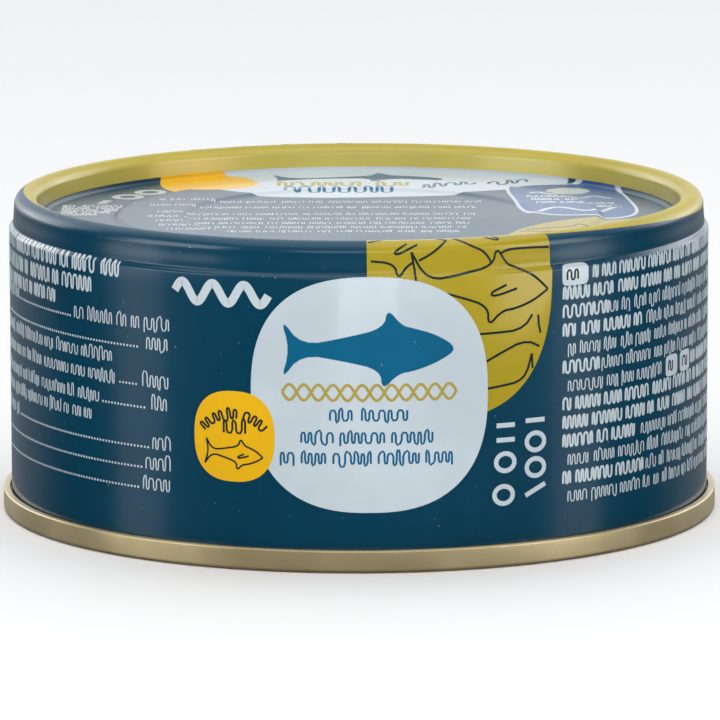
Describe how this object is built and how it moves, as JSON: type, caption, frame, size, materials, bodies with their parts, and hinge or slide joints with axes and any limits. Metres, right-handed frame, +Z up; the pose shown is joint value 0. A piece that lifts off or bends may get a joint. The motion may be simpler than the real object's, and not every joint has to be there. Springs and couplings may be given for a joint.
{
  "type": "tuna can",
  "caption": "Round shallow food can, printed drawn body with a rolled rim and stepped closed end, on a gold double-seamed base end.",
  "frame": {"origin": "under the middle of the can, on the plane its seam stands on", "axes": "+Z up along the can's axis, -Y towards the front of the print, +X to the right of the front"},
  "size_m": [0.0854, 0.0854, 0.038],
  "materials": {
    "printed_body": "gloss lacquer over print",
    "gold_end": "satin gold lacquer on tinplate"
  },
  "bodies": {
    "root": {"body": "printed_body", "end": "gold_end"}
  },
  "joints": []
}
